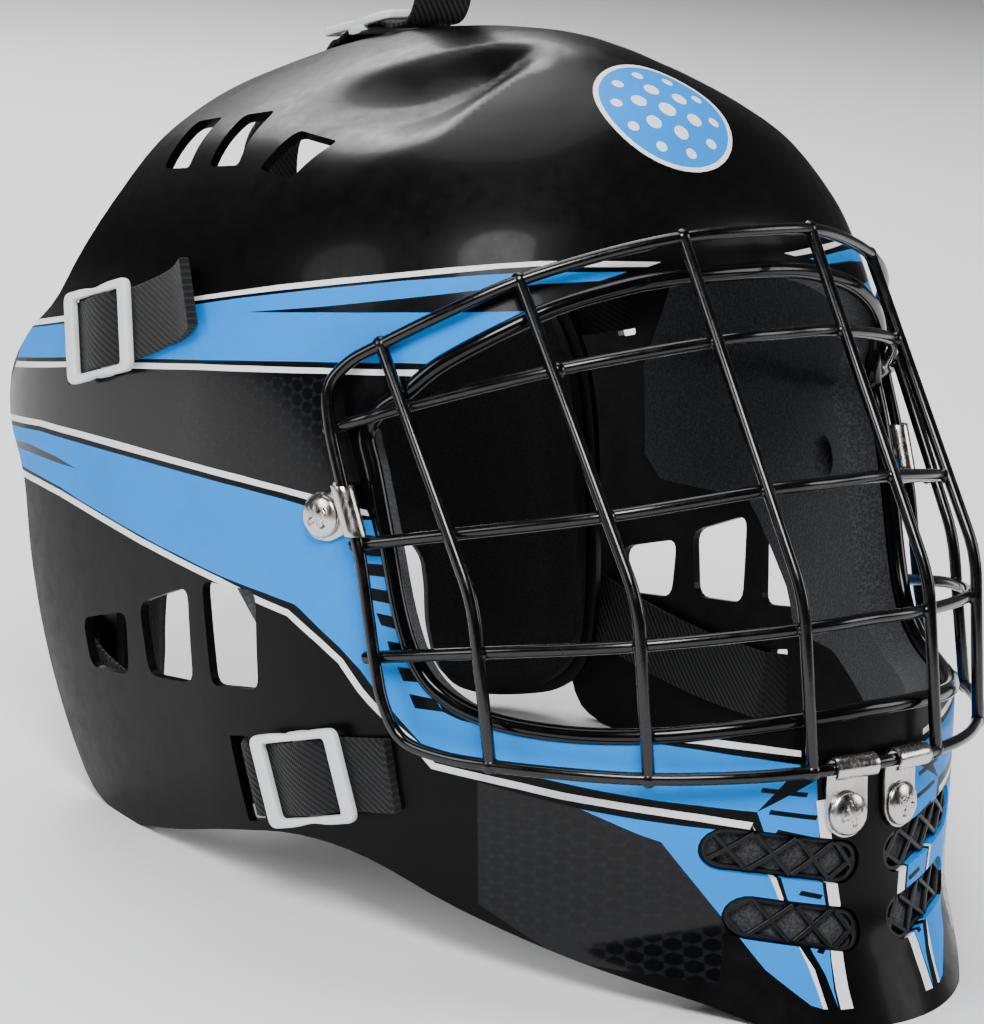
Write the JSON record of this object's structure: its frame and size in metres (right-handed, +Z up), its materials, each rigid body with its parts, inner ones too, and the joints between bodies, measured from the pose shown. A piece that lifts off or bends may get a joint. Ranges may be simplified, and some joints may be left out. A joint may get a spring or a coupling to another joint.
{
  "type": "floorball goalie mask",
  "caption": "Floorball goalie mask: moulded shell with welded wire face cage on bent clips, foam liner, padded back plate, and webbing straps with slide buckles.",
  "frame": {"origin": "centre of the bounding box in plan, at the level of the floor that the mask stands on", "axes": "+X to the wearer's right, -Y ahead out of the face opening, +Z up; the mask stands as it would by itself, tipped back 7.3 degrees from how it is worn"},
  "size_m": [0.2492, 0.3456, 0.2946],
  "materials": {
    "shell": "satin moulded plastic with printed blue, white and black graphics",
    "foam": "closed-cell foam with a fine grain",
    "wire": "glossy powder coat",
    "fitting": "bright nickel plate",
    "vent_grid": "satin",
    "webbing": "ribbed elastic webbing",
    "buckle": "satin",
    "plate": "satin"
  },
  "bodies": {
    "root": {"shell": "shell", "foam_liner": "foam", "cage": "wire", "chin_clip_left": "fitting", "chin_clip_right": "fitting", "chin_screw_left": "fitting", "chin_screw_right": "fitting", "chin_nut_left": "fitting", "chin_nut_right": "fitting", "temple_clip_left": "fitting", "temple_clip_right": "fitting", "temple_screw_left": "fitting", "temple_screw_right": "fitting", "temple_nut_left": "fitting", "temple_nut_right": "fitting", "vent_mesh_upper_left": "vent_grid", "vent_mesh_upper_right": "vent_grid", "vent_mesh_lower_left": "vent_grid", "vent_mesh_lower_right": "vent_grid", "strap_upper_left": "webbing", "strap_upper_right": "webbing", "strap_lower_left": "webbing", "strap_lower_right": "webbing", "buckle_upper_left": "buckle", "buckle_upper_right": "buckle", "buckle_lower_left": "buckle", "buckle_lower_right": "buckle", "strap_top": "webbing", "buckle_top": "buckle", "back_plate": "plate", "back_pad": "foam"}
  },
  "joints": []
}
